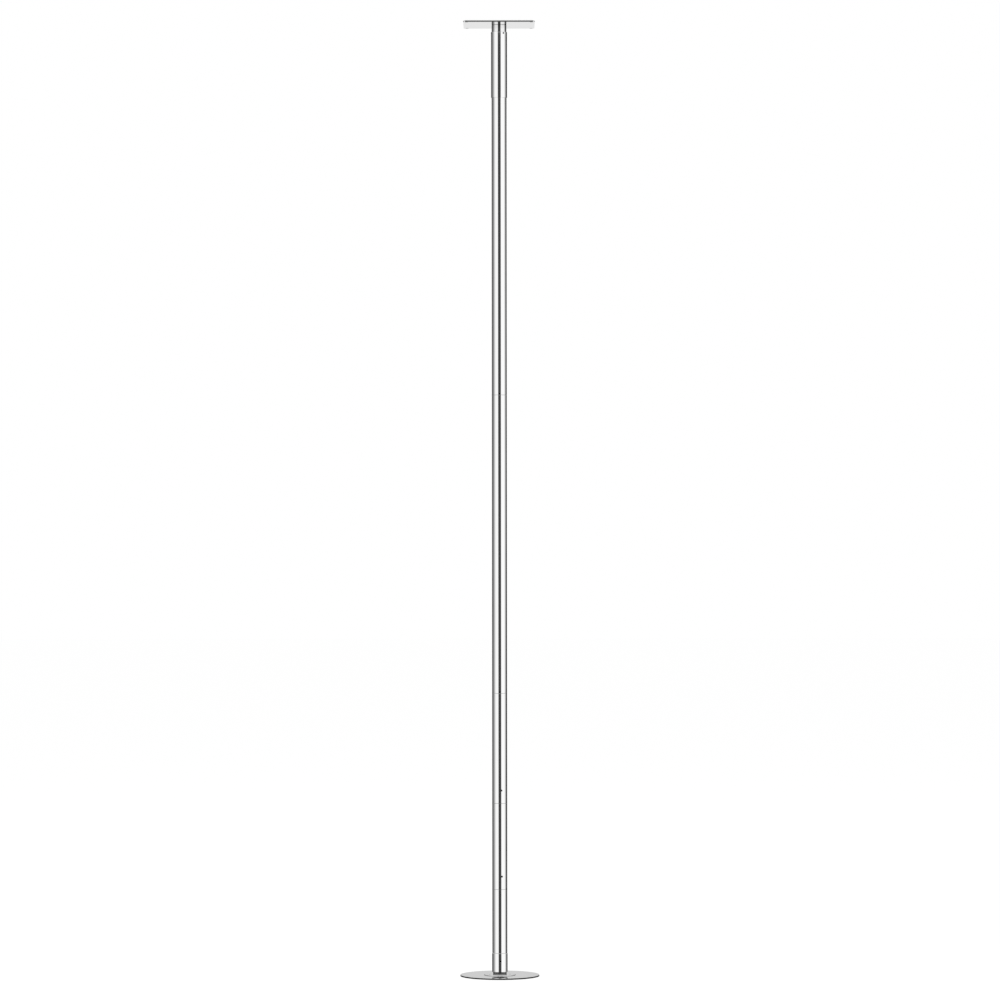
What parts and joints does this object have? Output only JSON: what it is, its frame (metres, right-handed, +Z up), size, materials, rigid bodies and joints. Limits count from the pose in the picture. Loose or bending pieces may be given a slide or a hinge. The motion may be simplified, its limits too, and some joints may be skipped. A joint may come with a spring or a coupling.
{
  "type": "dance pole",
  "caption": "Chromed tube pole between a round floor base with a screw jack and a square ceiling plate; its tubes join end to end, and it spins on bearings or locks still.",
  "frame": {"origin": "middle of the base's underside, on the floor", "axes": "+Z up along the pole, -Y towards the picture's camera, +X to its right"},
  "size_m": [0.235, 0.235, 2.8386],
  "materials": {
    "chrome_tube": "mirror chrome",
    "polished_plate": "polished, slightly soft",
    "machined_steel": "turned",
    "bearing_steel": "ground",
    "black_steel": "black oxide",
    "cage_brass": "turned",
    "black_rubber": "matt"
  },
  "bodies": {
    "floor_base": {"base_pad": "black_rubber", "base_plate": "polished_plate", "spindle_flange": "polished_plate", "jack_spindle": "machined_steel", "spindle_bolt": "black_steel", "base_screw_1": "black_steel", "base_screw_2": "black_steel", "base_screw_3": "black_steel"},
    "foot": {"bearing_housing": "chrome_tube", "guide_plug": "machined_steel", "jack_washer": "black_steel", "foot_thrust_lower_washer": "bearing_steel", "foot_bearing_outer_ring": "bearing_steel", "housing_clip": "black_steel"},
    "jack_nut": {"jack_nut": "polished_plate"},
    "spin_lock": {"spin_lock_screw": "black_steel"},
    "foot_thrust_balls": {"foot_thrust_cage": "cage_brass"},
    "foot_bearing_balls": {"foot_bearing_cage": "cage_brass"},
    "pole": {"spin_shaft": "machined_steel", "foot_thrust_upper_washer": "bearing_steel", "foot_bearing_inner_ring": "bearing_steel", "short_extension_tube": "chrome_tube", "shaft_screw": "black_steel", "short_spigot": "machined_steel", "short_spigot_screw": "black_steel", "middle_extension_tube": "chrome_tube", "middle_spigot": "machined_steel", "middle_spigot_screw": "black_steel", "long_extension_tube": "chrome_tube", "lower_joiner_front": "machined_steel", "lower_main_tube": "chrome_tube", "upper_joiner_front": "machined_steel", "upper_main_tube": "chrome_tube", "guide_collar": "cage_brass", "post_clamp_screw_1": "black_steel", "post_clamp_screw_2": "black_steel"},
    "lower_joiner_back": {"lower_joiner_back": "machined_steel"},
    "lower_joiner_screw": {"lower_joiner_screw": "black_steel"},
    "upper_joiner_back": {"upper_joiner_back": "machined_steel"},
    "upper_joiner_screw": {"upper_joiner_screw": "black_steel"},
    "top_post": {"top_post": "machined_steel", "post_foot_bush": "cage_brass", "neck_housing": "chrome_tube", "head_thrust_lower_washer": "bearing_steel", "head_bearing_outer_ring": "bearing_steel"},
    "cover_sleeve": {"cover_sleeve": "chrome_tube", "sleeve_screw_1": "black_steel", "sleeve_screw_2": "black_steel", "sleeve_screw_3": "black_steel"},
    "head_thrust_balls": {"head_thrust_cage": "cage_brass"},
    "head_bearing_balls": {"head_bearing_cage": "cage_brass"},
    "ceiling": {"ceiling_plate": "polished_plate", "ceiling_pad": "black_rubber", "stud_bolt": "black_steel", "ceiling_stud": "machined_steel", "head_thrust_upper_washer": "bearing_steel", "head_bearing_inner_ring": "bearing_steel", "stud_clip": "black_steel"}
  },
  "joints": [
    {"name": "height_adjust", "type": "slide", "parent": "floor_base", "child": "foot", "axis": [0, 0, 1], "range_m": [0, 0.03]},
    {"name": "nut_turn", "type": "hinge", "parent": "foot", "child": "jack_nut", "pos_m": [0, 0, 0], "axis": [0, 0, 1], "range_deg": [0, 4320]},
    {"name": "spin_lock", "type": "slide", "parent": "foot", "child": "spin_lock", "axis": [-0.0785, 0.9969, 0], "range_m": [-0.003, 0.0009]},
    {"name": "pole_spin", "type": "hinge", "parent": "foot", "child": "pole", "pos_m": [0, 0, 0], "axis": [0, 0, 1], "continuous": true},
    {"name": "foot_thrust_turn", "type": "hinge", "parent": "foot", "child": "foot_thrust_balls", "pos_m": [0, 0, 0], "axis": [0, 0, 1], "continuous": true},
    {"name": "foot_bearing_turn", "type": "hinge", "parent": "foot", "child": "foot_bearing_balls", "pos_m": [0, 0, 0], "axis": [0, 0, 1], "continuous": true},
    {"name": "lower_joiner_release", "type": "slide", "parent": "pole", "child": "lower_joiner_back", "axis": [0, -1, 0], "range_m": [0, 0.0012]},
    {"name": "lower_joiner_screw_travel", "type": "slide", "parent": "pole", "child": "lower_joiner_screw", "axis": [0, -1, 0], "range_m": [0, 0.0012]},
    {"name": "upper_joiner_release", "type": "slide", "parent": "pole", "child": "upper_joiner_back", "axis": [0, -1, 0], "range_m": [0, 0.0012]},
    {"name": "upper_joiner_screw_travel", "type": "slide", "parent": "pole", "child": "upper_joiner_screw", "axis": [0, -1, 0], "range_m": [0, 0.0012]},
    {"name": "top_telescope", "type": "slide", "parent": "pole", "child": "top_post", "axis": [0, 0, 1], "range_m": [-0.038, 0.04]},
    {"name": "sleeve_slide", "type": "slide", "parent": "top_post", "child": "cover_sleeve", "axis": [0, 0, 1], "range_m": [-0.15, 0.02]},
    {"name": "ceiling_swivel", "type": "hinge", "parent": "top_post", "child": "ceiling", "pos_m": [0, 0, 0], "axis": [0, 0, 1], "continuous": true},
    {"name": "head_thrust_turn", "type": "hinge", "parent": "top_post", "child": "head_thrust_balls", "pos_m": [0, 0, 0], "axis": [0, 0, 1], "continuous": true},
    {"name": "head_bearing_turn", "type": "hinge", "parent": "top_post", "child": "head_bearing_balls", "pos_m": [0, 0, 0], "axis": [0, 0, 1], "continuous": true}
  ],
  "couplings": [
    {"joint": "nut_turn", "follows": "height_adjust", "rad_per_m": 2513.3},
    {"joint": "foot_thrust_turn", "follows": "pole_spin", "ratio": 0.5},
    {"joint": "foot_bearing_turn", "follows": "pole_spin", "ratio": 0.4472},
    {"joint": "ceiling_swivel", "follows": "pole_spin", "ratio": -1},
    {"joint": "head_thrust_turn", "follows": "pole_spin", "ratio": -0.5},
    {"joint": "head_bearing_turn", "follows": "pole_spin", "ratio": -0.4333},
    {"joint": "lower_joiner_screw_travel", "follows": "lower_joiner_release", "ratio": 1},
    {"joint": "upper_joiner_screw_travel", "follows": "upper_joiner_release", "ratio": 1}
  ]
}
